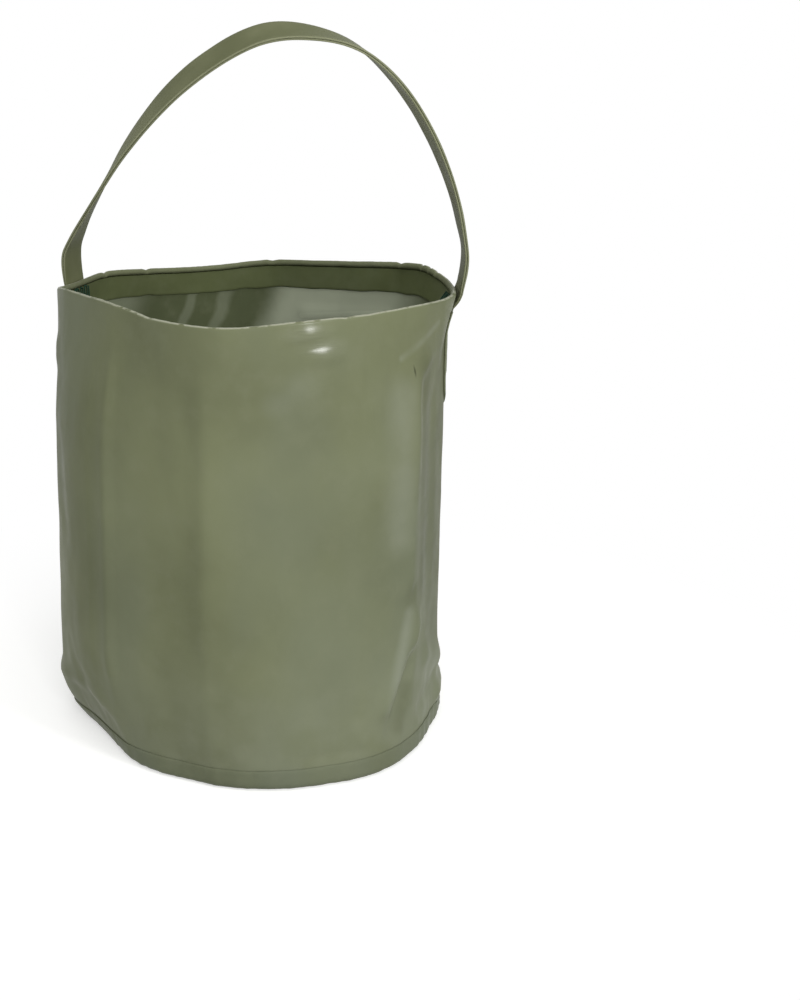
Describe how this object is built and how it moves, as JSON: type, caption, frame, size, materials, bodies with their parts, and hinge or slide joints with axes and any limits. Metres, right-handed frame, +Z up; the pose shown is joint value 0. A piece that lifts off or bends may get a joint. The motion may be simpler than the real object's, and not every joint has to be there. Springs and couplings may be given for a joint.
{
  "type": "collapsible water bucket",
  "caption": "Soft round bucket of coated fabric that stands open for carrying water and folds down flat, with a strap handle sewn under welded patches.",
  "frame": {"origin": "middle of the base, on the table", "axes": "+Z up, towards the mouth and the strap's arch; +X to the right, towards the right strap end; -Y to the front"},
  "size_m": [0.2511, 0.239, 0.4352],
  "materials": {
    "coated_fabric_panel": "satin",
    "coated_fabric_base": "satin",
    "coated_fabric_hem": "satin",
    "coated_fabric_patch": "satin",
    "strap_fabric": "satin",
    "sewing_thread": "matte"
  },
  "bodies": {
    "base": {"base_disc": "coated_fabric_base", "side_panel": "coated_fabric_panel"},
    "rim": {"rim_hem": "coated_fabric_hem", "handle_patch_left": "coated_fabric_patch", "handle_patch_right": "coated_fabric_patch", "strap_end_left": "strap_fabric", "strap_end_right": "strap_fabric", "strap_root_left": "strap_fabric", "strap_root_right": "strap_fabric", "strap_stitching_left": "sewing_thread", "strap_stitching_right": "sewing_thread"},
    "handle": {"handle_strap": "strap_fabric"}
  },
  "joints": [
    {"name": "collapse", "type": "slide", "parent": "base", "child": "rim", "axis": [0, 0, -1], "range_m": [0, 0.18], "deforming": ["side_panel"]},
    {"name": "handle_swing", "type": "hinge", "parent": "rim", "child": "handle", "pos_m": [0.00858, 0.01566, 0.292], "axis": [0.9935, -0.1137, 0], "range_deg": [-92, 70], "deforming": ["strap_root_left", "strap_root_right"]}
  ]
}
